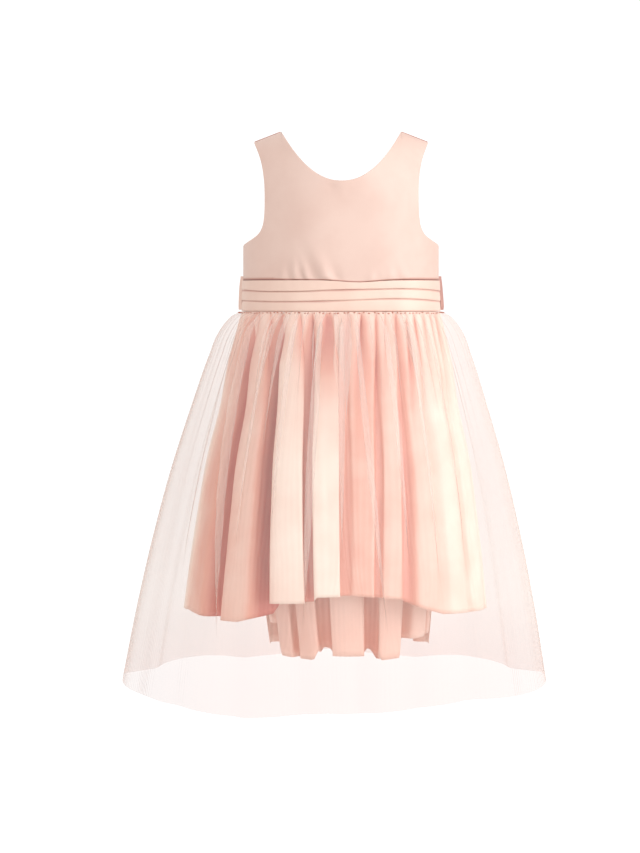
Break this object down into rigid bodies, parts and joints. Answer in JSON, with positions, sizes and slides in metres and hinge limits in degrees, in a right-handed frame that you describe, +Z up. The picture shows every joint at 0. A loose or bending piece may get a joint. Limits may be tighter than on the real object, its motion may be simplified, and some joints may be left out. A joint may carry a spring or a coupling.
{
  "type": "toddler party dress",
  "caption": "Sleeveless toddler party dress: satin bodice, tucked waistband with belt loops, gathered satin skirt, lining and long tulle overskirt, held out in its worn form.",
  "frame": {"origin": "midway between the shoulders, level with the neck ends of the shoulder seams, where the wearer's shoulders hold the dress", "axes": "+Z up, the front towards -Y, +X to the right of someone who faces the front"},
  "size_m": [0.447, 0.3725, 0.5891],
  "materials": {
    "bodice_satin": "satin",
    "band_satin": "satin",
    "skirt_satin": "satin",
    "lining": "matt",
    "tulle": "sheer net",
    "button": "satin"
  },
  "bodies": {
    "root": {"bodice_front": "bodice_satin", "bodice_back_right": "bodice_satin", "bodice_back_left": "bodice_satin", "waistband_front": "band_satin", "waistband_back_right": "band_satin", "waistband_back_left": "band_satin", "belt_loop_left": "band_satin", "belt_loop_right": "band_satin", "lining_front": "lining", "lining_back": "lining", "satin_skirt_front": "skirt_satin", "satin_skirt_back": "skirt_satin", "tulle_skirt_front": "tulle", "tulle_skirt_back": "tulle", "back_button_1": "button", "back_button_2": "button", "back_button_3": "button", "back_button_4": "button"}
  },
  "joints": []
}
